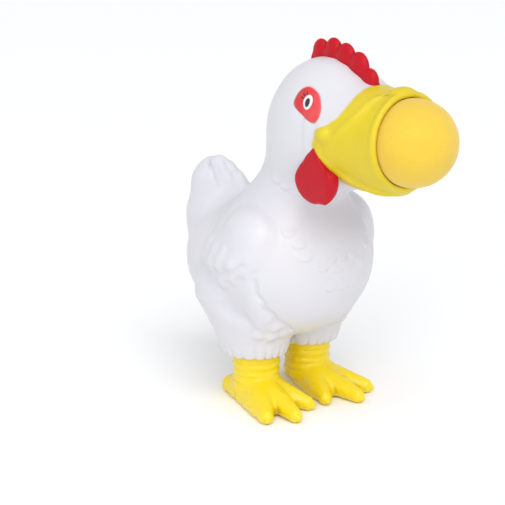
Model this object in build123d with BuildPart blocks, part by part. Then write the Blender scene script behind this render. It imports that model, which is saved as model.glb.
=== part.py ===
from build123d import *

import os
from math import asin, cos, sin

# A squeezable vinyl hen that holds a foam ball in its open beak and pops it out
# when its sides are pressed. It stands on its two feet and faces -Y, with +Z up
# and +X on its own left. The origin is on the floor, under the middle of the
# whole toy. Millimetres throughout. "Forward" is a distance ahead of the ankles.

# ---------------------------------------------------------------- driving sizes
ball_radius = 19.0
ball_forward = 86.0
ball_height = 139.0
ball_gap = 0.3  # between the ball and whatever it rests against
tail_back = 64.0  # tail's rear edge, behind the ankles

wall = 3.0  # soft vinyl
face_forward = 54.0  # flat face of the head that the barrel stands against

ankle_spread = 16.0  # each leg's axis, either side of the middle
ankle_radius = 11.0
hem_height = 25.0  # bottom edge of the feathered thigh
hem_radius = 14.0
thigh_radius = 17.5
thigh_top = 60.0
lip_height = 3.0  # thickness of the ring that the leg snaps into
plug_radius = 8.5
flange_radius = 10.5
flange_height = 3.0

barrel_radius = 19.6
barrel_bore_radius = 18.5
barrel_stop_radius = 12.0
barrel_stop_length = 3.0
barrel_front = 80.0
lip_front = 83.0  # front face of the beak's soft lip

side_forward = -5.0  # centre of each squeezable side panel
side_height = 74.0
side_half_length = 25.0
side_half_height = 27.0
side_window_end = 11.0  # how near the middle the window's prism runs
side_gap = 0.5
side_reach = 43.5  # outermost face of the folded wing

# The ankles stand where they centre the toy's length on the origin.
ankle_y = (ball_forward + ball_radius - tail_back) / 2
ball_centre = (0, ankle_y - ball_forward, ball_height)


def y_at(forward):
    """Row-frame Y of a place so far ahead of the ankles."""
    return ankle_y - forward


def facing(forward):
    """A plane square to the beak's axis: local x is +X, local y is +Z."""
    origin = (0, y_at(forward), ball_height)
    return Plane(origin=origin, x_dir=(1, 0, 0), z_dir=(0, -1, 0))


def finish(built, name):
    """Labels a finished sub-part and writes it as its own STEP file."""
    built.part.label = name
    export_step(built.part, f"parts/{name}.step")


os.makedirs("parts", exist_ok=True)

# ------------------------------------------------- torso, neck and head outline
# height, centre forward, half width, half length
body_sections = [
    (32, -10, 6, 10),
    (36, -10, 16, 26),
    (44, -10, 28, 40),
    (54, -9.5, 35.5, 48),
    (66, -8.5, 39.5, 50.5),
    (78, -6, 39, 48),
    (88, -1.5, 35.5, 40),
    (97, 5.5, 29, 31),
    (105, 13, 23.5, 26),
    (113, 20, 21.5, 27),
    (122, 27.5, 23, 30.5),
    (132, 31.5, 25, 31.5),
    (144, 33, 25, 31),
    (154, 34, 22, 26.5),
    (162, 34, 16, 19),
    (167, 34, 8, 10),
]


def section_loft(sections):
    """One smooth solid through level ellipses."""
    with BuildPart() as lofted:
        for height, forward, half_width, half_length in sections:
            with BuildSketch(Plane.XY.offset(height)):
                with Locations((0, y_at(forward))):
                    Ellipse(half_width, half_length)
        loft()
    return lofted.part


with BuildPart() as body_outer:
    add(section_loft(body_sections))
    with BuildSketch(facing(face_forward)):
        Rectangle(120, 120)
    extrude(amount=40, mode=Mode.SUBTRACT)

chamber_sections = [
    (height, forward, half_width - wall, half_length - wall)
    for height, forward, half_width, half_length in body_sections[1:-1]
]
air_chamber = section_loft(chamber_sections)

# ------------------------------------------------------------------ tail feathers
tail_thickness = 20.0
tail_outline = [  # forward, height, from the back of the neck round to the rump
    (-22, 88),
    (-34, 99),
    (-47, 108.5),
    (-57, 106),
    (-63, 94),
    (-63.5, 80),
    (-57, 62),
    (-42, 46),
    (-22, 44),
]

with BuildPart() as tail:
    with BuildSketch(Plane.YZ):
        with BuildLine():
            Spline([(y_at(forward), height) for forward, height in tail_outline])
            Line(
                (y_at(tail_outline[-1][0]), tail_outline[-1][1]),
                (y_at(tail_outline[0][0]), tail_outline[0][1]),
            )
        make_face()
    extrude(amount=tail_thickness / 2, both=True)
    fillet(tail.edges().filter_by(GeomType.BSPLINE), radius=6)

# ------------------------------------------------- squeezable side panel and wing
wing_centre = (36.0, y_at(side_forward - 1), 72.0)
wing_half_length = 20.0
wing_half_height = 21.0
wing_relief = 3.0


def side_window(side, half_length, half_height):
    """The oval prism, along X, that a side panel is cut from."""
    with BuildPart() as window:
        with BuildSketch(Plane.YZ.offset(side * 60)):
            with Locations((y_at(side_forward), side_height)):
                Ellipse(half_length, half_height)
        extrude(amount=-side * (60 - side_window_end))
    return window.part


def side_panel(side):
    """One pressed-in side of the soft body, with its folded wing in low relief."""
    with BuildPart() as panel:
        add(body_outer.part)
        with BuildSketch(Plane.YZ.offset(side * wing_centre[0])):
            with Locations(wing_centre[1:]):
                Ellipse(wing_half_length, wing_half_height)
        wing = extrude(amount=side * (side_reach - wing_centre[0]))
        fillet(wing.edges().sort_by(Axis.X)[-1 if side > 0 else 0], radius=wing_relief)
        add(air_chamber, mode=Mode.SUBTRACT)
        add(side_window(side, side_half_length, side_half_height), mode=Mode.INTERSECT)
    return panel


# ------------------------------------------------------------------- body shell
with BuildPart() as body_shell:
    add(body_outer.part)
    for side in (-1, 1):
        for height, radius in ((hem_height, hem_radius), (thigh_top, thigh_radius)):
            with BuildSketch(Plane.XY.offset(height)):
                with Locations((side * ankle_spread, ankle_y)):
                    Circle(radius)
        loft()
    add(tail.part)
    add(air_chamber, mode=Mode.SUBTRACT)
    for side in (-1, 1):
        with BuildSketch(Plane.XY.offset(hem_height + lip_height)):
            with Locations((side * ankle_spread, ankle_y)):
                Circle(ankle_radius)
        extrude(amount=22, mode=Mode.SUBTRACT)
        with BuildSketch(Plane.XY.offset(hem_height)):
            with Locations((side * ankle_spread, ankle_y)):
                Circle(plug_radius)
        extrude(amount=lip_height, mode=Mode.SUBTRACT)
    for side in (-1, 1):
        window = side_window(side, side_half_length + side_gap, side_half_height + side_gap)
        add(window, mode=Mode.SUBTRACT)
finish(body_shell, "body_shell")

for name, side in (("side_left", 1), ("side_right", -1)):
    finish(side_panel(side), name)

# -------------------------------------------------------------------------- beak
beak_root = 46.0  # where the beak's skirt wraps onto the cheeks
beak_root_half_width = 25.5
beak_root_half_height = 22.5
beak_waist = 64.0
beak_waist_half_width = 24.0
beak_waist_half_height = 22.5
lip_radius = 21.6
mandible_tip = 86.5  # how far forward the two hooked tips reach
mandible_width = 14.0
mandible_thickness = 3.6

with BuildPart() as beak_outer:
    with BuildSketch(facing(beak_root)):
        Ellipse(beak_root_half_width, beak_root_half_height)
    with BuildSketch(facing(beak_waist)):
        Ellipse(beak_waist_half_width, beak_waist_half_height)
    with BuildSketch(facing(lip_front)):
        Circle(lip_radius)
    loft()

with BuildPart() as beak:
    add(beak_outer.part)
    # The hooked tips of the upper and lower mandible, above and below the ball.
    with BuildSketch(facing(beak_waist)):
        Circle(lip_radius + 0.6)
        Rectangle(mandible_width, 100, mode=Mode.INTERSECT)
    extrude(amount=mandible_tip - beak_waist)
    # The head, the barrel and the ball all fit inside.
    add(body_outer.part, mode=Mode.SUBTRACT)
    with BuildSketch(facing(face_forward)):
        Circle(barrel_radius)
    extrude(amount=barrel_front - face_forward, mode=Mode.SUBTRACT)
    with Locations(ball_centre):
        Sphere(ball_radius + ball_gap, mode=Mode.SUBTRACT)
    with BuildSketch(facing(ball_forward)):
        Circle(ball_radius + ball_gap)
    extrude(amount=ball_radius, mode=Mode.SUBTRACT)
finish(beak, "beak")

# ----------------------------------------------------------- barrel and foam ball
with BuildPart() as ball_barrel:
    with BuildSketch(facing(face_forward)):
        Circle(barrel_radius)
        Circle(barrel_stop_radius, mode=Mode.SUBTRACT)
    extrude(amount=barrel_stop_length)
    with BuildSketch(facing(face_forward)):
        Circle(barrel_radius)
        Circle(barrel_bore_radius, mode=Mode.SUBTRACT)
    extrude(amount=barrel_front - face_forward)
finish(ball_barrel, "ball_barrel")

with BuildPart() as foam_ball:
    with Locations(ball_centre):
        Sphere(ball_radius)
finish(foam_ball, "foam_ball")

# -------------------------------------------------------------------------- comb
comb_thickness = 6.0
comb_lobes = [  # forward, height, radius
    (26.2, 171.4, 4.6),
    (34.5, 172.6, 4.8),
    (42.6, 170.4, 5.6),
    (51.0, 167.4, 5.8),
    (58.2, 162.4, 4.6),
]

with BuildPart() as comb:
    with BuildSketch(Plane.YZ):
        for forward, height, radius in comb_lobes:
            with Locations((y_at(forward), height)):
                Circle(radius)
        with BuildLine():
            ridge = [(y_at(forward), height) for forward, height, radius in comb_lobes]
            Polyline(ridge + [(y_at(50), 150), (y_at(24), 156), ridge[0]])
        make_face()
    extrude(amount=comb_thickness / 2, both=True)
    add(body_outer.part, mode=Mode.SUBTRACT)
    add(beak_outer.part, mode=Mode.SUBTRACT)
finish(comb, "comb")

# ----------------------------------------------------------------------- wattles
wattle_forward = 49.8
wattle_height = 121.0
wattle_half_length = 13.0
wattle_half_height = 13.2
wattle_inner = 17.6
wattle_thickness = 6.4


def wattle(side):
    """A thick rounded lobe that hangs from the corner of the mouth."""
    with BuildPart() as lobe:
        with BuildSketch(Plane.YZ.offset(side * wattle_inner)):
            with Locations((y_at(wattle_forward), wattle_height)):
                Ellipse(wattle_half_length, wattle_half_height)
        extrude(amount=side * wattle_thickness)
        fillet(lobe.edges(), radius=2.5)
        add(body_outer.part, mode=Mode.SUBTRACT)
        add(beak_outer.part, mode=Mode.SUBTRACT)
    return lobe


for name, side in (("wattle_left", 1), ("wattle_right", -1)):
    finish(wattle(side), name)

# -------------------------------------------------------------------------- legs
# Each toe: tip's centre (outward of the ankle, forward, height) and tip radius.
toe_root = (0.0, 2.0, 8.0)
toe_root_radius = 8.5
toes = [
    (3.5, 33.5, 3.6, 4.0),  # middle
    (15.0, 26.5, 3.4, 4.0),  # outer
    (-10.5, 26.0, 3.4, 3.8),  # inner
    (3.5, -16.0, 4.2, 4.2),  # hind
]
shin_foot = 6.0
ring_count = 4
ring_pitch = 3.2
ring_start = 10.6
ring_depth = 0.5


def tapered_capsule(start, end, start_radius, end_radius):
    """Two balls joined by the cone that is tangent to both."""
    along = Vector(*end) - Vector(*start)
    length = along.length
    lean = asin((start_radius - end_radius) / length)
    side_on = Plane(origin=start, x_dir=along, z_dir=along.cross(Vector(0, 0, 1)))

    def on_ball(centre, radius, angle):
        return (centre + radius * sin(angle), radius * cos(angle))

    quarter = asin(1)
    with BuildPart() as capsule:
        with BuildSketch(side_on):
            with BuildLine():
                back = on_ball(0, start_radius, -quarter)
                shoulder = on_ball(0, start_radius, lean)
                wrist = on_ball(length, end_radius, lean)
                tip = on_ball(length, end_radius, quarter)
                ThreePointArc(back, on_ball(0, start_radius, (lean - quarter) / 2), shoulder)
                Line(shoulder, wrist)
                ThreePointArc(wrist, on_ball(length, end_radius, (lean + quarter) / 2), tip)
                Line(tip, back)
            make_face()
        revolve(axis=Axis(start, along))
    return capsule.part


def leg(side):
    """A moulded foot and ringed ankle, with the plug that snaps into the body."""
    axis_x = side * ankle_spread
    out, forward, height = toe_root
    root = (axis_x + side * out, y_at(forward), height)
    capsules = [
        tapered_capsule(root, (axis_x + side * o, y_at(f), h), toe_root_radius, r)
        for o, f, h, r in toes
    ]
    shin = Plane(origin=(axis_x, ankle_y, 0), x_dir=(1, 0, 0), z_dir=(0, -1, 0))
    with BuildPart() as built:
        with BuildSketch(shin):
            with BuildLine():
                inside = Polyline(
                    (ankle_radius, ring_start),
                    (ankle_radius - 1, shin_foot),
                    (0, shin_foot),
                    (0, hem_height + lip_height + flange_height),
                    (flange_radius, hem_height + lip_height + flange_height),
                    (flange_radius, hem_height + lip_height),
                    (plug_radius, hem_height + lip_height),
                    (plug_radius, hem_height),
                    (ankle_radius, hem_height),
                    (ankle_radius, ring_start + ring_count * ring_pitch),
                )
                for ring in range(ring_count):
                    low = ring_start + ring * ring_pitch
                    ThreePointArc(
                        (ankle_radius, low),
                        (ankle_radius + ring_depth, low + ring_pitch / 2),
                        (ankle_radius, low + ring_pitch),
                    )
            make_face()
        revolve(axis=Axis((axis_x, ankle_y, 0), (0, 0, 1)))
        for capsule in capsules:
            add(capsule)
        split(bisect_by=Plane.XY, keep=Keep.TOP)
    return built


for name, side in (("leg_left", 1), ("leg_right", -1)):
    finish(leg(side), name)
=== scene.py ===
import math

import bpy
import numpy as np
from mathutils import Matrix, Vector


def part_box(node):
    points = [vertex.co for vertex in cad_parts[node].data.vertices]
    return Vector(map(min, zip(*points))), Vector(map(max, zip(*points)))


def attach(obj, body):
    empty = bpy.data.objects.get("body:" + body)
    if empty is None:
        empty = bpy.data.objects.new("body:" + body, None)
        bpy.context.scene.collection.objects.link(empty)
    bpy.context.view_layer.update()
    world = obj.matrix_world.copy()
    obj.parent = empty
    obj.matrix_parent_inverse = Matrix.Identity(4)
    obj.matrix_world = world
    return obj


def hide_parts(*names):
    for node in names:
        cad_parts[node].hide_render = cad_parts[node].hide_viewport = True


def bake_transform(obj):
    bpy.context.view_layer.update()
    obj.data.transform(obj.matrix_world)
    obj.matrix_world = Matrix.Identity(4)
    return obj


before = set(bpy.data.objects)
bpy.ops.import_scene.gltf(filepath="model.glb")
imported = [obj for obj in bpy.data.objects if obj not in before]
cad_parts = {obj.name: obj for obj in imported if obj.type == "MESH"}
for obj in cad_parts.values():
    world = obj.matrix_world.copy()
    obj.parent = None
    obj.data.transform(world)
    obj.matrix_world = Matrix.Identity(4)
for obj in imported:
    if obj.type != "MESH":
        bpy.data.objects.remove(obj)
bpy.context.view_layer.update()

# A soft-vinyl squeeze hen with a foam ball in its beak. The shapes below are signed
# distances in millimetres, in the shared frame: the hen faces -Y, +X is its own left and
# +Z is up. "Forward" is the distance ahead of the ankles.

MM = 0.001


def node_box(node):
    """A CAD node's lowest and highest corners, in millimetres."""
    low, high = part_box(node)
    return np.array(low) / MM, np.array(high) / MM


ball_low, ball_high = node_box("foam_ball")
ball_centre = (ball_low + ball_high) / 2
ball_radius = (ball_high[2] - ball_low[2]) / 2
ball_forward = 86.0
ankle_y = ball_centre[1] + ball_forward
beak_height = ball_centre[2]
ankle_spread = 16.0
barrel_low, barrel_high = node_box("ball_barrel")
barrel_radius = (barrel_high[0] - barrel_low[0]) / 2


def at(across, forward, height):
    """A place so far to the hen's left, ahead of its ankles and above the floor."""
    return np.array([across, ankle_y - forward, height], float)


# ------------------------------------------------------------------ distance fields
def ellipsoid(p, centre, radii):
    """Nearly the distance to an ellipsoid, and exactly so at its surface."""
    q = (p - centre) / radii
    reach = np.linalg.norm(q, axis=1)
    return reach * (reach - 1) / np.maximum(np.linalg.norm(q / radii, axis=1), 1e-9)


def cone(p, start, end, start_radius, end_radius):
    """A straight rod with round ends, whose radius changes along its length."""
    axis = end - start
    t = np.clip((p - start) @ axis / (axis @ axis), 0, 1)
    radius = start_radius + (end_radius - start_radius) * t
    return np.linalg.norm(p - start - t[:, None] * axis, axis=1) - radius


def join(a, b, soft):
    """The union of two shapes, with a fillet of about that size."""
    h = np.clip(0.5 + 0.5 * (b - a) / soft, 0, 1)
    return b + (a - b) * h - soft * h * (1 - h)


def meet(a, b, soft):
    """What two shapes share, with a rounded edge."""
    return -join(-a, -b, soft)


def cut(a, b, soft):
    """The first shape without the second."""
    return -join(-a, b, soft)


def step(x, low, high):
    """Rises smoothly from 0 at low to 1 at high."""
    t = np.clip((x - low) / (high - low), 0, 1)
    return t * t * (3 - 2 * t)


def far_away(p):
    """A distance to start from, larger than any on the hen."""
    return np.full(len(p), 1e3)


def curve(points, per_span=5):
    """Points along a smooth curve through the given rows, whatever their columns are."""
    rows = np.array(points, float)
    ends = np.vstack([2 * rows[0] - rows[1], rows, 2 * rows[-1] - rows[-2]])
    out = []
    for a, b, c, d in zip(ends, ends[1:], ends[2:], ends[3:]):
        for t in np.arange(per_span) / per_span:
            bend = 2 * b + (c - a) * t + (2 * a - 5 * b + 4 * c - d) * t**2
            out.append((bend + (3 * b - 3 * c + d - a) * t**3) / 2)
    out.append(rows[-1])
    return out


def bead(p, points, per_span=4):
    """A round bead along a curve through (across, forward, height, radius) rows."""
    line = curve(points, per_span)
    d = far_away(p)
    for a, b in zip(line, line[1:]):
        d = np.minimum(d, cone(p, at(*a[:3]), at(*b[:3]), a[3], b[3]))
    return d


def outline(p, points):
    """Distance, seen from the side, to a row of joined (forward, height, radius) discs."""
    flat = p * (0, 1, 1)
    d = far_away(p)
    for a, b in zip(points, points[1:]):
        d = np.minimum(d, cone(flat, at(0, *a[:2]), at(0, *b[:2]), a[2], b[2]))
    return d


def mirrored(p):
    """The same places, folded onto the hen's left."""
    q = p.copy()
    q[:, 0] = abs(q[:, 0])
    return q


# ------------------------------------------------------------------ torso and head
torso = (at(0, 7.5, 71.7), (39.8, 36, 37.3))
rump = (at(0, -18.4, 62.9), (30.6, 41.7, 31.4))
neck = (at(0, 7.8, 96.2), at(0, 25.1, 132.3), 18.2, 21.3)
head = (at(0, 34, 138.3), (25.5, 31.2, 30.8))
rump_fillet, neck_fillet, head_fillet = 10, 12, 8
outside = 46  # further to the left than any of the hen
side_steps = 40


def trunk(p):
    """The plain body, neck and head, with no feathers or beak."""
    d = join(ellipsoid(p, *torso), ellipsoid(p, *rump), rump_fillet)
    d = join(d, cone(p, *neck), neck_fillet)
    return join(d, ellipsoid(p, *head), head_fillet)


def on_side(field, places, lift):
    """Carries (forward, height) places on to the left side of a shape, so far proud."""
    p = np.array([at(outside, forward, height) for forward, height in places])
    for _ in range(side_steps):
        p[:, 0] -= field(p) - lift
    return p


breast_feathers = [  # across, forward and height of each tip, and half the feather's width
    (22.8, 31.8, 89.0, 4.4),
    (20.4, 36.0, 84.0, 4.4),
    (19.0, 38.5, 78.3, 4.8),
    (11.7, 41.9, 72.9, 4.2),
    (7.0, 42.7, 76.4, 4.2),
    (3.2, 43.4, 71.6, 4.2),
    (0.0, 43.1, 76.8, 4.0),
    (6.7, 42.0, 63.0, 4.4),
    (0.0, 42.5, 62.4, 4.4),
    (19.6, 19.4, 111.1, 3.4),
    (18.1, 24.0, 108.7, 3.4),
]
feather_relief = 0.75


def small_feathers(q):
    """How far the small feathers stand out: each ends in a rounded tip."""
    raised = np.zeros(len(q))
    for across, forward, height, width in breast_feathers:
        tip = at(across, forward, height)
        sideways = np.hypot(q[:, 0] - tip[0], (q[:, 1] - tip[1]) * 0.9) / width
        rise = (q[:, 2] - tip[2]) / width
        near = np.linalg.norm(q - tip, axis=1) < 3 * width
        from_centre = np.hypot(sideways, rise - 1)
        body = step(-from_centre, -1.0, -0.7) * step(-rise, -1.3, 0.1)
        raised = np.maximum(raised, near * body * feather_relief)
    return raised


# ------------------------------------------------------------------- tail feathers
tail_feathers = [  # forward, height and radius of each tip, from the rump up and round
    (-45.5, 78.3, 22.2),
    (-54.0, 93.4, 13.2),
    (-54.3, 101.0, 6.5),
    (-48.0, 104.2, 5.5),
    (-41.6, 103.0, 4.8),
    (-34.5, 99.8, 4.2),
]
tail_grooves = [  # rows of across, forward, height and radius, down between the feathers
    [
        (3.2, -55.0, 107.4, 0.6),
        (5.8, -48.5, 103.2, 0.5),
        (6.8, -44.8, 100.0, 0.4),
        (8.4, -40.0, 97.4, 0.1),
    ],
    [
        (1.9, -47.8, 110.2, 0.6),
        (3.2, -42.3, 106.2, 0.5),
        (3.4, -38.5, 103.8, 0.4),
        (3.8, -34.6, 101.2, 0.1),
    ],
]
tail_root, tail_root_radius = at(0, -20, 68), 16.6
tail_squeeze = 1.3  # the tail is this much thinner across than it is deep
tail_fillet = 3.5
groove_softness = 1.8


def tail(p):
    """An upright fan of feathers that run together, with grooves near their tips."""
    q = p * (tail_squeeze, 1, 1)
    d = far_away(p)
    for forward, height, radius in tail_feathers:
        feather = cone(q, tail_root, at(0, forward, height), tail_root_radius, radius)
        d = join(d, feather, tail_fillet)
    d = d / tail_squeeze**0.5
    for groove in tail_grooves:
        d = cut(d, bead(mirrored(p), groove), groove_softness)
    return d


# ------------------------------------------------------------------------ wings
coverts_plan = [  # forward, height and radius of the wing's upper plate
    (16.4, 84.0, 6.2),
    (12.4, 81.0, 7.0),
    (4.0, 79.4, 7.6),
    (-3.0, 78.8, 7.6),
    (-9.0, 79.4, 7.0),
]
quills_plan = [  # and of the plate that shows below it
    (18.0, 79.4, 7.0),
    (11.6, 75.2, 7.0),
    (4.8, 71.9, 7.0),
    (-2.4, 69.2, 7.0),
    (-8.6, 69.0, 7.0),
]
coverts_relief = 3.3  # how far each plate stands out at its lower edge
quills_relief = 1.7
coverts_low, coverts_high = 76, 90  # the upper plate sinks into the skin between these
wing_feathers = [  # forward and height of each feather's tip, its radius and its lift
    (-9.4, 63.6, 4.6, -2.2),
    (-2.4, 63.8, 4.6, -2.3),
    (4.8, 66.5, 4.6, -2.4),
    (11.6, 69.9, 4.6, -2.5),
    (17.6, 73.6, 4.4, -2.7),
    (-9.6, 73.6, 4.8, -1.0),
    (-2.4, 72.8, 4.8, -0.9),
    (5.0, 74.0, 4.8, -0.9),
    (12.0, 75.6, 4.8, -1.1),
    (18.2, 78.8, 4.6, -1.9),
]
lone_feather = [(-1.2, 59.5), (-3.0, 54.6)]
lone_feather_radius = 2.7
shoulder = (at(26.5, 11.6, 85.0), (13.2, 17.0, 15.0))


def laid_on_trunk(feathers):
    """Each feather's root and tip on the trunk's side, and its radius."""
    out = []
    for forward, height, radius, lift in feathers:
        places = [(forward + 2.0, height + 6.0), (forward, height)]
        out.append((*on_side(trunk, places, np.array([lift - 0.8, lift])), radius))
    return out


wing_bones = laid_on_trunk(wing_feathers)
lone_root, lone_tip = on_side(trunk, lone_feather, np.array([-0.6, -0.2]))
wing_bones.append((lone_root, lone_tip, lone_feather_radius))


def wing(q):
    """A folded wing: two low plates edged with feather tips, and a full shoulder."""
    skin = trunk(q)
    quills = meet(skin - quills_relief, outline(q, quills_plan), 2.0)
    relief = coverts_relief * step(-q[:, 2], -coverts_high, -coverts_low)
    coverts = meet(skin - relief, outline(q, coverts_plan), 2.0)
    d = join(join(quills, coverts, 1.0), ellipsoid(q, *shoulder), 4)
    for root, tip, radius in wing_bones:
        d = join(d, cone(q, root, tip, radius, radius), 0.8)
    return d


# ------------------------------------------------------------------------ thighs
hem_bottom = 26.1
hem_radius = 14.4
hem_flare = 0.36  # how fast the skirt widens with height
flutes = 20
flute_depth = 0.75
hem_waves = 1.1
skirt_height = 24
thigh_core = (at(20.2, -8.4, 56), at(17.7, -4.3, 37), 20.7, 15)
tuft = [  # the band of long feathers down the front of each thigh
    (32.0, 18.0, 71.0, 4.5),
    (30.2, 18.0, 60.0, 5.6),
    (26.6, 17.4, 50.0, 5.8),
    (22.4, 15.8, 43.5, 5.4),
]
tuft_feathers = [  # root's and tip's across, forward and height, and the tip's radius
    (33, 16, 70, 32.4, 20.6, 62.0, 2.6),
    (32, 16, 64, 30.4, 21.0, 56.0, 2.6),
    (30, 17, 58, 26.8, 21.4, 50.0, 2.7),
    (27, 17, 52, 22.4, 21.2, 44.6, 2.8),
    (27, 13, 52, 28.0, 9.0, 41.5, 4.6),
    (26, 14, 52, 25.4, 13.0, 40.6, 4.8),
    (25, 15, 52, 21.0, 16.2, 40.2, 4.8),
    (22, 15, 52, 15.6, 17.4, 41.2, 4.8),
]
thigh_crease = [  # forward and height, down the line where the breast meets the thigh
    (23.6, 69.0),
    (23.4, 63.0),
    (25.3, 59.0),
    (24.6, 56.0),
    (26.6, 52.0),
    (25.6, 49.0),
    (26.4, 45.0),
    (24.4, 41.6),
]
crease_line = on_side(trunk, thigh_crease, 0.3)
crease_radius, crease_softness = 0.7, 1.8


def thigh(q):
    """A feathered thigh: a skirt with a wavy hem, and a tuft of long feathers in front."""
    x, y = q[:, 0] - ankle_spread, q[:, 1] - ankle_y
    rise = q[:, 2] - hem_bottom
    turn = np.arctan2(x, -y)
    flute = abs(np.cos(turn * flutes / 2 + 0.8 * np.sin(3 * turn))) ** 0.6
    ridges = flute_depth * flute * step(-rise, -8, -1)
    skirt = np.hypot(x, y) - hem_radius - hem_flare * rise - ridges
    skirt = meet(skirt, -rise - hem_waves * flute, 1.4)
    skirt = meet(skirt, rise - skirt_height, 8)
    d = join(cone(q, *thigh_core), skirt, 5.0)
    d = join(d, bead(q, tuft), 1.6)
    for *places, radius in tuft_feathers:
        d = join(d, cone(q, at(*places[:3]), at(*places[3:]), 4, radius), 1.0)
    return d


def creased(q, d):
    """The same shape, with a soft groove down the front of each thigh."""
    groove = far_away(q)
    for a, b in zip(crease_line, crease_line[1:]):
        groove = np.minimum(groove, cone(q, a, b, crease_radius, crease_radius))
    return cut(d, groove, crease_softness)


def hen_white(p):
    """All of the white skin: trunk, tail, thighs, wings and small feathers."""
    q = mirrored(p)
    d = join(trunk(p), tail(p), 5)
    d = join(d, thigh(q), 3)
    d = creased(q, join(d, wing(q), 2.0))
    return d - small_feathers(q)


# ------------------------------------------------------------------------- beak
lower_ridge = [  # across, forward, height, bead radius, from the mouth's corner to the tip
    (23.6, 51.6, 134.5, 0.9),
    (22.4, 52.3, 131.5, 1.3),
    (20.7, 55.1, 127.8, 1.4),
    (18.8, 58.1, 124.6, 1.4),
    (16.2, 65.0, 121.7, 1.4),
    (13.9, 69.5, 119.9, 1.4),
    (11.4, 73.1, 118.2, 1.4),
    (7.6, 76.0, 117.0, 1.4),
    (4.0, 78.2, 116.8, 1.4),
    (0.0, 79.2, 116.9, 1.4),
]
upper_edge = [  # height and forward, along the upper mandible's edge
    (136.0, 57.5),
    (145.0, 65.3),
    (149.2, 69.0),
    (153.0, 71.4),
    (156.6, 72.5),
    (158.1, 73.8),
    (159.7, 77.3),
    (161.5, 81.0),
]
lower_edge = [  # forward and height, along the lower mandible's edge
    (50, 138),
    (56, 132.5),
    (61, 125.4),
    (68, 121),
    (75, 118.2),
    (83, 116),
]
upper_tip = (at(0, 77.6, 159.2), (5.0, 3.8, 2.5))
lower_tip = (at(0, 80.2, 117.8), (5.0, 2.8, 2.0))
cheek = (at(23.0, 54.5, 140.5), (3.4, 3.6, 3.4))
beak_back = 44
# Each of these three gives a length for each distance forward.
mandible = [(44, 24.6), (52, 24.2), (60, 23.4), (70, 22.9), (77, 22.4), (84, 21.6)]  # radius
membrane = [(44, 24.8), (52, 24.2), (62, 22.9), (70, 22.0), (78, 21.5), (90, 21.2)]  # radius
sag = [(50, 0.0), (62, 2.0), (74, 2.4), (80, 1.2), (84, 0.2)]  # below the ball's axis
crest, crest_width = 0.8, 2.4  # the raised edge of the upper mandible
lip_radius = 19.9
lip_bead = 1.6
lip_forward = 82.0
lip_tilt = math.radians(4)


def along(x, rows):
    """The second column of some rows, read off where the first column is x."""
    return np.interp(x, *zip(*rows))


def beak(p, q):
    """A stretched tube: two mandibles, a sagging membrane between them and a rolled lip."""
    forward = ankle_y - p[:, 1]
    out = np.hypot(p[:, 0], p[:, 2] - beak_height + along(forward, sag))
    upper = along(p[:, 2], upper_edge) - forward
    lower = along(forward, lower_edge) - p[:, 2]
    beyond = step(upper, -1.5, 1.5) + step(lower, -1.0, 1.5)
    hard = along(forward, mandible)
    soft = along(forward, membrane)
    radius = soft + (hard - soft) * np.clip(beyond, 0, 1)
    radius += crest * np.exp(-((upper / crest_width) ** 2)) * step(p[:, 2], 136, 144)
    lip_normal = np.array([0, -math.cos(lip_tilt), math.sin(lip_tilt)])
    from_lip = p - at(0, lip_forward, beak_height)
    ahead = from_lip @ lip_normal
    d = meet(out - radius, np.maximum(ahead, beak_back - forward), 1.5)
    d = join(d, bead(q, lower_ridge), 2.0)
    across = np.linalg.norm(from_lip - ahead[:, None] * lip_normal, axis=1)
    d = join(d, np.hypot(across - lip_radius, ahead) - lip_bead, 1.0)
    d = join(d, ellipsoid(q, *cheek), 2.5)
    return join(join(d, ellipsoid(p, *upper_tip), 3.0), ellipsoid(p, *lower_tip), 2.2)


barrel_wall_inset = 1.05  # how deep the barrel's wall is set into the skin round it
ball_clearance = 0.03
bore_back = 53.9
air_way_radius, air_way_back = 15, 40  # the hollow behind the bore


def mouth_bore(p):
    """The bore that the barrel and the ball sit in. The barrel's wall is set into its side."""
    forward = ankle_y - p[:, 1]
    out = np.hypot(p[:, 0], p[:, 2] - beak_height)
    behind = np.clip(ball_forward - forward, 0, ball_radius)
    round_ball = np.sqrt(ball_radius**2 - behind**2) + ball_clearance
    reach = np.maximum(barrel_radius - barrel_wall_inset, round_ball)
    bore = np.maximum(out - reach, bore_back - forward)
    return np.minimum(bore, np.maximum(out - air_way_radius, air_way_back - forward))


def hen(p):
    """The whole moulded skin, white and yellow, with the mouth open."""
    d = join(hen_white(p), beak(p, mirrored(p)), 3.0)
    return cut(d, mouth_bore(p), 0.8)


paint_start = [  # height and forward, up the back edge of the beak's yellow paint
    (110, 59),
    (117, 57),
    (124, 52.5),
    (130, 49.5),
    (134.5, 48.2),
    (138, 49.2),
    (142.3, 51.5),
    (145, 56.5),
    (149, 60.8),
    (153, 62.2),
    (158, 62.2),
    (162, 61.8),
]


def paint_edge(p):
    """Positive where the beak's yellow paint is, in mm from the paint's edge."""
    return ankle_y - p[:, 1] - along(p[:, 2], paint_start)


# ------------------------------------------------------------- comb and wattles
comb_lobes = [  # forward and height of each lobe's centre, and its radius
    (26.2, 171.4, 4.6),
    (34.5, 172.6, 4.8),
    (42.6, 170.4, 5.6),
    (51.0, 167.4, 5.8),
    (58.2, 162.4, 4.6),
]
comb_half = 3.0


def comb(p):
    """A thin comb, whose five rounded lobes lap each other like pillows."""
    base = [(forward, height - 5, 5) for forward, height, radius in comb_lobes]
    d = meet(outline(p, base), abs(p[:, 0]) - comb_half + 0.5, 1.5)
    for forward, height, radius in comb_lobes:
        lobe = ellipsoid(p, at(0, forward, height - 1), (comb_half, radius, radius + 1))
        d = join(d, lobe, 0.8)
    return d


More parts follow.
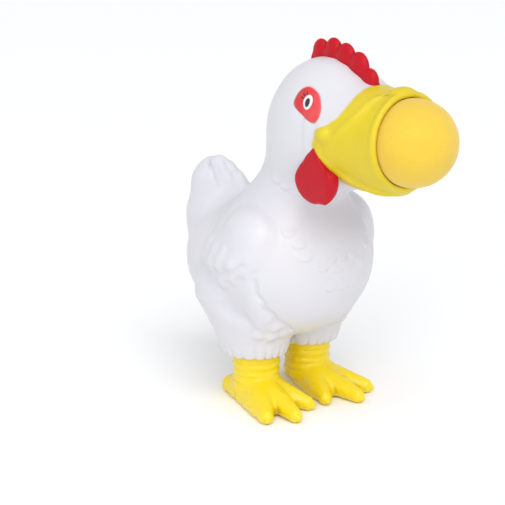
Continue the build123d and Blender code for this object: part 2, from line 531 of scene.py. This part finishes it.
wattle_plan = [(48.9, 133.4, 2.6), (45.6, 117.4, 9.4), (49.2, 119.0, 11.9)]
wattle_top = [  # forward and height, where the beak's lower edge covers it
    (49.0, 137.0),
    (51.9, 130.6),
    (53.2, 128.2),
    (55.9, 125.1),
    (59.8, 123.3),
    (64.3, 121.5),
]
wattle_middle = 21.0
wattle_half = 3.2
wattle_thickest = 121  # the lobe thins from this height down
wattle_thinning = 0.012


def wattle(q):
    """A thick soft lobe with rounded edges, hung from the corner of the mouth."""
    crown = wattle_thinning * np.minimum(q[:, 2] - wattle_thickest, 0) ** 2
    flat = abs(q[:, 0] - wattle_middle) - wattle_half + crown
    above = 0.6 * (q[:, 2] - along(ankle_y - q[:, 1], wattle_top))
    plan = join(outline(q, wattle_plan[:2]), outline(q, wattle_plan[1:]), 5.0)
    return meet(meet(plan + 0.4, flat, 3.2), above, 1.0)


# ------------------------------------------------------------------------- legs
ankle_radius = 11.2
ankle_low, ankle_high = 6, 27.5
ankle_taper = 0.02  # how fast the ankle widens above its middle
ankle_middle = 14
ring_grooves = [10.5, 13.4, 14.5, 17.1, 18.1, 21.2]  # heights
groove_depth, groove_width = 0.4, 0.55
toe_root, toe_root_radius = (0.0, 2.0, 8.0), 8.4
toes = [  # each tip's place out from the ankle, forward and height, and its radius
    (15.0, 26.5, 3.2, 3.3),
    (3.5, 33.5, 3.2, 3.3),
    (-10.5, 26.0, 3.2, 3.2),
    (3.5, -16.0, 3.8, 4.0),
]
webs = [(9.0, 20.0, 2.4, 2.8), (-3.4, 19.5, 2.4, 2.8)]  # skin between the front toes
sole_edges = [  # the straight edges from the hind toe's tip to each side toe's tip
    ((3.5, -15.0, 3.2), (14.4, 24.0, 2.6)),
    ((2.6, -12.0, 3.2), (-9.0, 18.0, 2.6)),
]
claw_radius = 1.3
sole_rounding = 0.8


def from_ankle(out, forward, height):
    """A place so far to the outer side of the left ankle, ahead of it and above the floor."""
    return at(ankle_spread + out, forward, height)


def leg(q):
    """A moulded leg: a ringed ankle and three webbed toes, with one toe behind."""
    x, y, z = q[:, 0] - ankle_spread, q[:, 1] - ankle_y, q[:, 2]
    grooves = sum(np.exp(-(((z - g) / groove_width) ** 2)) for g in ring_grooves)
    shin = np.hypot(x, y) - ankle_radius - ankle_taper * (z - ankle_middle)
    d = meet(shin + groove_depth * grooves, np.maximum(ankle_low - z, z - ankle_high), 1.0)
    root = from_ankle(*toe_root)
    for out, forward, height, radius in toes:
        tip = from_ankle(out, forward, height)
        away = (tip - root) / np.linalg.norm(tip - root)
        toe = cone(q, root, tip, toe_root_radius, radius)
        knuckle = cone(q, root + (0, 0, 3.2), tip + (0, 0, radius - 1.2), 4.5, 1.5)
        claw = cone(q, tip - (0, 0, 0.6), tip + away * (radius - 0.2), 2.2, claw_radius)
        d = join(d, join(join(toe, knuckle, 1.6), claw, 0.8), 2.6)
    for *place, radius in webs:
        d = join(d, cone(q, root, from_ankle(*place), 8.0, radius), 3.0)
    for back, front in sole_edges:
        back, front = from_ankle(*back), from_ankle(*front)
        d = join(d, cone(q, back, front, 3.2, 2.8), 2.5)
        for share in (0.2, 0.4, 0.6, 0.8):
            d = join(d, cone(q, root, back + (front - back) * share, 8.0, 3.4), 2.5)
    return meet(d, -z, sole_rounding)


# --------------------------------------------------------------------- meshing
BLOCK = 4  # grid points along each side of a block
NEAR = 1.6  # in blocks: how near the surface a block is worked out in full
GRADIENT_REACH = 0.05  # how far to each side, in mm, a field is read to find its slope
SETTLING_STEPS = 3
CORNERS = np.indices((2, 2, 2)).reshape(3, -1).T  # of one cell of the grid
CREASE_REACHES = (1.2, 2.5, 5.0)


def sampled(field, low, blocks, pitch):
    """The field on a grid, worked out in full only near its surface."""
    index = np.indices(blocks).reshape(3, -1).T
    coarse = field(low + (index * BLOCK + (BLOCK - 1) / 2) * pitch)
    values = coarse.reshape(blocks)
    for axis in range(3):
        values = np.repeat(values, BLOCK, axis)
    inner = np.indices((BLOCK,) * 3).reshape(3, -1).T
    close = index[abs(coarse) < NEAR * BLOCK * pitch]
    fine = (close[:, None, :] * BLOCK + inner).reshape(-1, 3)
    values[tuple(fine.T)] = field(low + fine * pitch)
    return values


def gradient(field, p):
    """Which way the field rises at each place, and how fast."""
    g = np.empty_like(p)
    for axis in range(3):
        shift = np.zeros(3)
        shift[axis] = GRADIENT_REACH
        g[:, axis] = (field(p + shift) - field(p - shift)) / (2 * GRADIENT_REACH)
    return g


def unit(rows):
    """The same directions, each of length 1."""
    return rows / np.maximum(np.linalg.norm(rows, axis=1), 1e-9)[:, None]


def crossed_cells(inside):
    """The cells of the grid that the surface runs through."""
    shape = np.array(inside.shape) - 1
    count = np.zeros(shape, int)
    for c in CORNERS:
        count += inside[tuple(slice(c[i], c[i] + shape[i]) for i in range(3))]
    return np.argwhere((count > 0) & (count < len(CORNERS)))


def cell_points(values, cells):
    """The middle of each cell's crossed edges, in steps of the grid."""
    total = np.zeros((len(cells), 3))
    hits = np.zeros(len(cells))
    for axis in range(3):
        for c in CORNERS[CORNERS[:, axis] == 0]:
            a = cells + c
            b = a.copy()
            b[:, axis] += 1
            va, vb = values[tuple(a.T)], values[tuple(b.T)]
            crossed = (va < 0) != (vb < 0)
            t = np.where(crossed, va / np.where(crossed, va - vb, 1), 0)
            total += np.where(crossed[:, None], a + t[:, None] * np.eye(3)[axis], 0)
            hits += crossed
    return total / hits[:, None]


def net_quads(inside, cells):
    """One quad round each crossed edge of the grid, facing outwards."""
    shape = np.array(inside.shape) - 1
    number = np.full(shape, -1)
    number[tuple(cells.T)] = np.arange(len(cells))
    quads = []
    for axis in range(3):
        u, v = (axis + 1) % 3, (axis + 2) % 3
        edges = np.argwhere(np.roll(inside, -1, axis) != inside)
        keep = (edges[:, axis] < shape[axis]) & (edges[:, u] > 0) & (edges[:, v] > 0)
        keep &= (edges[:, u] < shape[u]) & (edges[:, v] < shape[v])
        edges = edges[keep]
        du, dv = np.eye(3, dtype=int)[u], np.eye(3, dtype=int)[v]
        ring = [number[tuple((edges - s).T)] for s in (0 * du, du, du + dv, dv)]
        ring = np.stack(ring, 1)
        outward = inside[tuple(edges.T)]
        quads.append(np.where(outward[:, None], ring, ring[:, ::-1]))
    return np.vstack(quads)


def settled(field, vertices, pitch):
    """The vertices moved on to the surface, by no more than one step of the grid."""
    start = vertices.copy()
    for _ in range(SETTLING_STEPS):
        g = gradient(field, vertices)
        move = -g * (field(vertices) / np.maximum((g * g).sum(1), 0.3))[:, None]
        vertices = start + np.clip(vertices + move - start, -pitch, pitch)
    return vertices


def surface(field, low, high, pitch):
    """Vertices, quads and normals of the field's zero surface, by surface nets."""
    low = np.array(low, float)
    low[0] = (math.floor(low[0] / pitch) - 0.5) * pitch
    blocks = tuple(np.ceil((np.array(high) - low) / pitch / BLOCK).astype(int) + 1)
    values = sampled(field, low, blocks, pitch)
    inside = values < 0
    cells = crossed_cells(inside)
    vertices = settled(field, low + cell_points(values, cells) * pitch, pitch)
    return vertices, net_quads(inside, cells), unit(gradient(field, vertices))


def hollow(field, vertices, normals):
    """How deep each place lies in a fold, from 0 in the open to 1: the mask for the shade painted
    into the colour.
    """
    lost = np.zeros(len(vertices))
    for reach in CREASE_REACHES:
        lost += np.clip(1 - field(vertices + reach * normals) / reach, 0, 1)
    return lost / len(CREASE_REACHES)


def mesh_object(name, vertices, faces, normals=None, **attributes):
    """A Blender mesh from millimetre vertices, with the faces' own vertices only."""
    faces = np.asarray(faces)
    used, flat = np.unique(faces, return_inverse=True)
    mesh = bpy.data.meshes.new(name)
    mesh.from_pydata(vertices[used] * MM, [], flat.reshape(faces.shape).tolist())
    for key, values in attributes.items():
        layer = mesh.attributes.new(key, "FLOAT", "POINT")
        layer.data.foreach_set("value", values[used].astype(np.float32))
    mesh.shade_smooth()
    if normals is not None:
        mesh.normals_split_custom_set_from_vertices(normals[used].tolist())
    piece = bpy.data.objects.new(name, mesh)
    bpy.context.scene.collection.objects.link(piece)
    return piece


def moulded(name, field, low, high, pitch):
    """One whole closed piece, meshed from its field."""
    vertices, quads, normals = surface(field, low, high, pitch)
    # How deep each vertex lies in a fold, kept on the mesh as the mask for painted shade.
    crease = hollow(field, vertices, normals)
    return mesh_object(name, vertices, quads, normals, crease=crease)


# ------------------------------------------------------------------- materials
class Look:
    """A procedural material, laid out in metres so that its grain has a real size."""

    def __init__(self, name, **fixed):
        self.material = bpy.data.materials.new(name)
        self.material.use_nodes = True
        self.tree = self.material.node_tree
        self.shader = self.tree.nodes["Principled BSDF"]
        for key, value in fixed.items():
            self.shader.inputs[key.replace("_", " ")].default_value = value
        self.places = self.node("ShaderNodeTexCoord").outputs["Object"]

    def node(self, kind, inputs=None, **settings):
        """A new node, with each input linked to a socket or set to a value."""
        made = self.tree.nodes.new(kind)
        for key, value in settings.items():
            setattr(made, key, value)
        for key, value in (inputs or {}).items():
            if isinstance(value, bpy.types.NodeSocket):
                self.tree.links.new(value, made.inputs[key])
            else:
                made.inputs[key].default_value = value
        return made

    def noise(self, size, detail=2.0):
        """Soft noise from 0 to 1, with blotches about that many millimetres across."""
        inputs = {"Vector": self.places, "Scale": 1 / (size * MM), "Detail": detail}
        return self.node("ShaderNodeTexNoise", inputs).outputs["Fac"]

    def attribute(self, name):
        """A value that the mesh holds at each vertex."""
        return self.node("ShaderNodeAttribute", attribute_name=name).outputs["Fac"]

    def ramp(self, value, low, high, to_low=0.0, to_high=1.0):
        """The value carried smoothly from one range to another."""
        inputs = {
            "Value": value,
            "From Min": low,
            "From Max": high,
            "To Min": to_low,
            "To Max": to_high,
        }
        return self.node("ShaderNodeMapRange", inputs, interpolation_type="SMOOTHSTEP").outputs[0]

    def mix(self, factor, a, b):
        """The first colour where the factor is 0, and the second where it is 1."""
        made = self.node("ShaderNodeMix", data_type="RGBA")
        for index, value in ((0, factor), (6, a), (7, b)):
            if isinstance(value, bpy.types.NodeSocket):
                self.tree.links.new(value, made.inputs[index])
            elif index:
                made.inputs[index].default_value = (*value, 1)
            else:
                made.inputs[index].default_value = value
        return made.outputs[2]

    def sum(self, a, b, weight):
        """a + b * weight"""
        inputs = {0: b, 1: weight, 2: a}
        return self.node("ShaderNodeMath", inputs, operation="MULTIPLY_ADD").outputs[0]

    def surface(self, colour, roughness, height, depth, strength):
        """Joins up the colour, roughness and a bump of so many millimetres."""
        inputs = {"Height": height, "Distance": depth * MM, "Strength": strength}
        bump = self.node("ShaderNodeBump", inputs).outputs["Normal"]
        for key, value in (("Base Color", colour), ("Roughness", roughness), ("Normal", bump)):
            self.tree.links.new(value, self.shader.inputs[key])
        return self.material


# Each vinyl's own colour, its mottling and the darker colour painted into its creases as shade, in
# linear light.
WHITES = (0.66, 0.66, 0.72), (0.69, 0.675, 0.70), (0.44, 0.41, 0.42)
BEAK_YELLOWS = (0.72, 0.575, 0.012), (0.67, 0.515, 0.010), (0.54, 0.37, 0.006)
LEG_YELLOWS = (0.88, 0.68, 0.010), (0.84, 0.62, 0.009), (0.60, 0.40, 0.006)
REDS = (0.54, 0.010, 0.022), (0.46, 0.007, 0.015), (0.24, 0.004, 0.008)


def painted_vinyl(name):
    """White vinyl with the beak's yellow sprayed on it, so that one runs into the other."""
    look = Look(name, Subsurface_Weight=0.12, Subsurface_Scale=0.003)
    look.shader.inputs["Subsurface Radius"].default_value = (1.0, 0.8, 0.6)
    # Painted shade: the white and the yellow both darken where the skin lies deep in a fold.
    crease = look.ramp(look.attribute("crease"), 0.3, 0.85)
    plain, mottled, creased_white = WHITES
    white = look.mix(crease, look.mix(look.noise(28), plain, mottled), creased_white)
    plain, mottled, creased_yellow = BEAK_YELLOWS
    yellow = look.mix(crease, look.mix(look.noise(14), plain, mottled), creased_yellow)
    edge = look.sum(look.attribute("paint"), look.noise(4, 4), 1.4)
    colour = look.mix(look.ramp(edge, -0.3, 1.9), white, yellow)
    roughness = look.ramp(look.noise(6), 0.3, 0.7, 0.36, 0.48)
    skin = look.sum(look.noise(1.1, 3), look.noise(3.5), 0.6)
    return look.surface(colour, roughness, skin, 0.05, 0.25)


def vinyl(name, colours, roughness, specular, coat=0.0):
    """Self-coloured or sprayed vinyl: mottled a little, with shade painted into its creases."""
    look = Look(name, Subsurface_Weight=0.06, Subsurface_Scale=0.002, Coat_Weight=coat)
    look.shader.inputs["Specular IOR Level"].default_value = specular
    look.shader.inputs["Coat Roughness"].default_value = 0.25
    plain, mottled, creased_colour = colours
    shade = look.mix(look.noise(9), plain, mottled)
    # Painted shade: the colour darkens where the piece lies deep in a fold.
    shade = look.mix(look.ramp(look.attribute("crease"), 0.3, 0.9), shade, creased_colour)
    rough = look.ramp(look.noise(4), 0.3, 0.7, roughness - 0.05, roughness + 0.07)
    skin = look.sum(look.noise(0.9, 3), look.noise(3), 0.6)
    return look.surface(shade, rough, skin, 0.05, 0.25)


def sprayed_patch(name):
    """The eye patch: deep red behind, fading to a warm pink in front."""
    look = Look(name)
    y = look.node("ShaderNodeSeparateXYZ", {"Vector": look.places}).outputs["Y"]
    shade = look.mix(
        look.ramp(y, at(0, 35, 0)[1] * MM, at(0, 51, 0)[1] * MM),
        (0.62, 0.012, 0.015),
        (0.74, 0.085, 0.095),
    )
    shade = look.mix(look.ramp(look.noise(2.5, 4), 0.35, 0.8), shade, (0.68, 0.05, 0.055))
    rough = look.ramp(look.noise(3), 0.3, 0.7, 0.28, 0.42)
    return look.surface(shade, rough, look.noise(0.9, 3), 0.04, 0.25)


def eye_enamel(name, colour, worn):
    """Glossy printed paint, a little worn in places."""
    look = Look(name, Coat_Weight=0.5)
    shade = look.mix(look.ramp(look.noise(0.8, 4), 0.4, 0.8), colour, worn)
    rough = look.ramp(look.noise(1.5), 0.3, 0.7, 0.18, 0.32)
    return look.surface(shade, rough, look.noise(0.7, 3), 0.02, 0.2)


def foam(name):
    """Fine closed-cell foam with a dry skin."""
    look = Look(name, Sheen_Weight=0.25, Sheen_Roughness=0.5)
    cells = look.node(
        "ShaderNodeTexVoronoi", {"Vector": look.places, "Scale": 1 / (0.55 * MM)}
    ).outputs["Distance"]
    shade = look.mix(look.noise(10), (0.79, 0.55, 0.045), (0.75, 0.49, 0.036))
    shade = look.mix(look.ramp(cells, 0.45, 1.1, 0, 0.3), shade, (0.70, 0.43, 0.03))
    rough = look.ramp(look.noise(2), 0.3, 0.7, 0.68, 0.84)
    return look.surface(shade, rough, look.sum(look.noise(0.5, 3), cells, 0.4), 0.05, 0.22)


def barrel_plastic(name):
    """The grey plastic of the sleeve that the ball is pressed into."""
    look = Look(name)
    shade = look.mix(look.noise(5, 4), (0.55, 0.56, 0.58), (0.46, 0.47, 0.5))
    rough = look.ramp(look.noise(1.5), 0.3, 0.7, 0.4, 0.6)
    return look.surface(shade, rough, look.noise(0.5, 3), 0.04, 0.3)


def wear(piece, material):
    """Gives a piece its one material."""
    piece.data.materials.clear()
    piece.data.materials.append(material)


skin_vinyl = painted_vinyl("skin_vinyl")
red_vinyl = vinyl("red_vinyl", REDS, 0.36, 0.15)
leg_vinyl = vinyl("leg_vinyl", LEG_YELLOWS, 0.3, 0.35, coat=0.25)

# ------------------------------------------------------------------ body and beak
body_low, body_high = (-outside, ankle_y - 90, 20), (outside, ankle_y + 72, 172)
pitch = 0.85
vertices, quads, normals = surface(hen, body_low, body_high, pitch)
# The paint's edge, and how deep each vertex lies in a fold as the mask for painted shade.
shades = {"paint": paint_edge(vertices), "crease": hollow(hen, vertices, normals)}
middle = vertices[quads].mean(1)
is_beak = paint_edge(middle) > 0
left = (middle[:, 0] > 0) & ~is_beak
right = ~left & ~is_beak
beak_skin = mesh_object("beak_skin", vertices, quads[is_beak], normals, **shades)
skin_left = mesh_object("skin_left", vertices, quads[left], normals, **shades)
skin_right = mesh_object("skin_right", vertices, quads[right], normals, **shades)
wear(beak_skin, skin_vinyl)
wear(skin_left, skin_vinyl)
wear(skin_right, skin_vinyl)
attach(beak_skin, "hen")
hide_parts("beak")
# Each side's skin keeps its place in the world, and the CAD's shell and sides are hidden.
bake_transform(skin_left)
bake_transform(skin_right)
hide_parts("body_shell", "side_left")
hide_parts("body_shell", "side_right")

# ------------------------------------------------------- comb, wattles and legs
fine = 0.6
comb_piece = moulded("comb_lobes", comb, (-5, ankle_y - 66, 150), (5, ankle_y - 18, 180), fine)
wear(comb_piece, red_vinyl)
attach(comb_piece, "hen")
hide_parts("comb")


def turned_over(vertices, faces, normals):
    """The mirror image, on the hen's right."""
    return vertices * (-1, 1, 1), faces[:, ::-1], normals * (-1, 1, 1)


def pair(kind, field, low, high, material):
    """The same piece on the hen's left and, mirrored, on its right."""
    made = surface(field, low, high, fine)
    # How deep each vertex lies in a fold, kept on both meshes as the mask for painted shade.
    crease = hollow(field, made[0], made[2])
    for side, built in (("left", made), ("right", turned_over(*made))):
        piece = mesh_object(f"{kind}_{side}_moulded", *built, crease=crease)
        wear(piece, material)
        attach(piece, "hen")
        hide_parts(f"{kind}_{side}")


pair("wattle", wattle, (14, ankle_y - 68, 102), (27, ankle_y - 32, 138), red_vinyl)
pair("leg", leg, (-6, ankle_y - 42, -2), (40, ankle_y + 24, 30), leg_vinyl)

# --------------------------------------------------------------------- the eyes
eye_patch = [  # forward and height, round the patch
    (35.2, 151.3),
    (36.2, 156.2),
    (40.0, 158.4),
    (46.3, 156.2),
    (50.6, 151.3),
    (51.1, 147.6),
    (49.6, 145.0),
    (46.0, 145.2),
    (38.4, 148.6),
]
pupil = (42.75, 152.4, 1.5, 2.0)  # forward, height, half width and half height
pupil_ring = (42.7, 152.5, 2.65, 3.1)
lashes = [  # forward and height of each lash's root and tip
    (40.0, 153.6, 37.9, 154.4),
    (40.3, 154.6, 38.4, 155.8),
    (41.2, 155.2, 40.1, 156.9),
]


def closed_curve(points, count):
    """So many places round a smooth loop through the points."""
    rows = [np.array(r) for r in curve(list(points) * 3, 8)]
    loop = rows[len(points) * 8 : len(points) * 16]
    picks = np.linspace(0, len(loop), count, endpoint=False).astype(int)
    return np.array([loop[i] for i in picks])


def orient(faces, vertices):
    """The faces turned so that the first one looks outwards, to the hen's left."""
    a, b, c = (vertices[i] for i in faces[0])
    outward = np.cross(b - a, c - a)[0] > 0
    return [face if outward else face[::-1] for face in faces]


film_root = -0.5  # how deep each film's hidden back lies in the skin


def decal(name, loop, lift, material, rings=6):
    """A thin closed film on both sides of the head, with a rounded rim."""
    centre, count = loop.mean(0), len(loop)
    places, lifts = [centre], [lift]
    for ring in range(1, rings + 1):
        share = ring / rings
        places += [centre + (point - centre) * share for point in loop]
        lifts += [lift - 0.5 * lift * (share > 0.99)] * count
    top = on_side(hen, places, np.array(lifts))
    back = on_side(hen, places[-count:], np.full(count, film_root))
    vertices = np.vstack([top, back, on_side(hen, [centre], film_root)])
    faces = [(0, 1 + i, 1 + (i + 1) % count) for i in range(count)]
    for ring in range(rings):
        a, b = 1 + ring * count, 1 + (ring + 1) * count
        for i in range(count):
            j = (i + 1) % count
            faces += [(a + i, b + i, b + j), (a + i, b + j, a + j)]
    last = 1 + rings * count
    faces += [(last + count, last + (i + 1) % count, last + i) for i in range(count)]
    for side, sign in (("left", 1), ("right", -1)):
        order = [face[::sign] for face in orient(faces, vertices)]
        piece = mesh_object(f"{name}_{side}", vertices * (sign, 1, 1), order)
        wear(piece, material)
        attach(piece, "hen")


eye_lean = 0.125  # the eye leans back by this much of its height


def oval(forward, height, half_width, half_height, count=48):
    """A leaning ellipse, as (forward, height) places."""
    turns = np.linspace(0, 2 * math.pi, count, endpoint=False)
    x, z = half_width * np.cos(turns), half_height * np.sin(turns)
    return np.stack([forward + x - eye_lean * z, height + z], 1)


def lash_loop(f0, h0, f1, h1, width=0.42, count=20):
    """A lash: a thin stroke that narrows to its tip."""
    root, tip = np.array([f0, h0]), np.array([f1, h1])
    stroke = tip - root
    side = np.array([-stroke[1], stroke[0]]) / np.linalg.norm(stroke)
    out = []
    for turn in np.linspace(0, 2 * math.pi, count, endpoint=False):
        share = (1 - math.cos(turn)) / 2
        half = width * abs(math.sin(turn)) * (1 - 0.55 * share)
        out.append(root + stroke * share + side * math.copysign(half, math.sin(turn)))
    return np.array(out)


patch_loop = closed_curve(eye_patch, 72)
halo_size = 1.06  # a faint rim of overspray round the patch
halo_loop = patch_loop.mean(0) + (patch_loop - patch_loop.mean(0)) * halo_size
halo = eye_enamel("halo", (0.80, 0.42, 0.42), (0.78, 0.5, 0.5))
black = eye_enamel("pupil_black", (0.012, 0.012, 0.014), (0.03, 0.028, 0.03))
bright = eye_enamel("ring_white", (0.82, 0.82, 0.82), (0.74, 0.74, 0.76))
decal("eye_halo", halo_loop, 0.10, halo)
decal("eye_patch", patch_loop, 0.18, sprayed_patch("patch_red"))
decal("eye_ring", oval(*pupil_ring), 0.30, bright)
decal("eye_pupil", oval(*pupil), 0.42, black)
for number, lash in enumerate(lashes):
    decal(f"eye_lash_{number + 1}", lash_loop(*lash), 0.32, black, rings=3)

# ---------------------------------------------------------------------- the ball
dimple_depth, seam_height = 0.07, 0.04


def ball_mesh(steps):
    """A ball of six warped grids, with the faint dimples and join line of moulded foam."""
    grid = np.tan(np.linspace(-math.pi / 4, math.pi / 4, steps + 1))
    u, v = (a.ravel() for a in np.meshgrid(grid, grid, indexing="ij"))
    points, faces = [], []
    cell = np.arange(steps * (steps + 1)).reshape(steps, steps + 1)[:, :-1].ravel()
    square = np.stack([cell, cell + steps + 1, cell + steps + 2, cell + 1], 1)
    for axis in range(3):
        for sign in (-1, 1):
            faces.append((square if sign > 0 else square[:, ::-1]) + len(points) * len(u))
            points.append(np.roll(np.stack([np.full(len(u), sign), u, v], 1), axis, 1))
    points = unit(np.vstack(points))
    points, first = np.unique(points.round(7), axis=0, return_inverse=True)
    faces = first.ravel()[np.vstack(faces)]
    waves = np.random.default_rng(7).normal(size=(24, 3)) * 14
    phases = np.arange(24) * 1.7
    dimples = np.sin(points @ waves.T + phases).sum(1) / 24
    seam = np.exp(-((points[:, 0] * 60) ** 2))
    radius = ball_radius + dimple_depth * dimples - dimple_depth + seam_height * seam
    return ball_centre + unit(points) * radius[:, None], faces


ball = mesh_object("foam_ball_skin", *ball_mesh(72))
wear(ball, foam("ball_foam"))
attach(ball, "ball")
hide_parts("foam_ball")

wear(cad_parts["ball_barrel"], barrel_plastic("barrel_plastic"))

# ------------------------------------------------------------- camera and light
camera_data = bpy.data.cameras.new("camera")
camera_data.lens = 106.93
camera_data.sensor_width = 36
camera_data.clip_start = 0.05
camera_data.clip_end = 200
camera_down, camera_turn = math.radians(16.78), math.radians(-38.5)
camera = bpy.data.objects.new("camera", camera_data)
camera.location = (-0.4367, -0.5055, 0.2769)
camera.rotation_euler = (math.pi / 2 - camera_down, 0, camera_turn)
bpy.context.scene.collection.objects.link(camera)
bpy.context.scene.camera = camera


def aimed(name, kind, place, target, power, **settings):
    """A light at a place, turned to face its target."""
    data = bpy.data.lights.new(name, kind)
    data.energy = power
    for key, value in settings.items():
        setattr(data, key, value)
    light = bpy.data.objects.new(name, data)
    light.location = place
    light.rotation_mode = "QUATERNION"
    light.rotation_quaternion = (Vector(target) - Vector(place)).to_track_quat("-Z", "Y")
    bpy.context.scene.collection.objects.link(light)


middle_of_hen = (0, 0, 0.08)
aimed("sun", "SUN", (-0.9, -2.0, 3.0), middle_of_hen, 1.35, angle=math.radians(48))
aimed("softbox", "AREA", (-1.3, -1.0, 1.0), middle_of_hen, 6, shape="DISK", size=0.9)

world = bpy.data.worlds.new("world")
bpy.context.scene.world = world
world.use_nodes = True
sky = world.node_tree
sky.nodes["Background"].inputs["Color"].default_value = (0.97, 0.98, 1, 1)
direction = sky.nodes.new("ShaderNodeTexCoord").outputs["Generated"]
split = sky.nodes.new("ShaderNodeSeparateXYZ")
fade = sky.nodes.new("ShaderNodeMapRange")  # a bright band round the floor, dimmer above
for key, value in (("From Min", 0.02), ("From Max", 0.4), ("To Min", 1.0), ("To Max", 0.68)):
    fade.inputs[key].default_value = value
sky.links.new(direction, split.inputs["Vector"])
sky.links.new(split.outputs["Z"], fade.inputs["Value"])
sky.links.new(fade.outputs[0], sky.nodes["Background"].inputs["Strength"])
bpy.context.scene.view_settings.view_transform = "Standard"

floor_half = 60
floor_mesh = bpy.data.meshes.new("floor")
floor_corners = [(floor_half * x, floor_half * y, 0) for x, y in ((-1, -1), (1, -1), (1, 1), (-1, 1))]
floor_mesh.from_pydata(floor_corners, [], [(0, 1, 2, 3)])
floor = bpy.data.objects.new("floor", floor_mesh)
floor_look = Look("floor", Roughness=0.8)
floor_look.shader.inputs["Base Color"].default_value = (0.96, 0.96, 0.96, 1)
floor_mesh.materials.append(floor_look.material)
bpy.context.scene.collection.objects.link(floor)
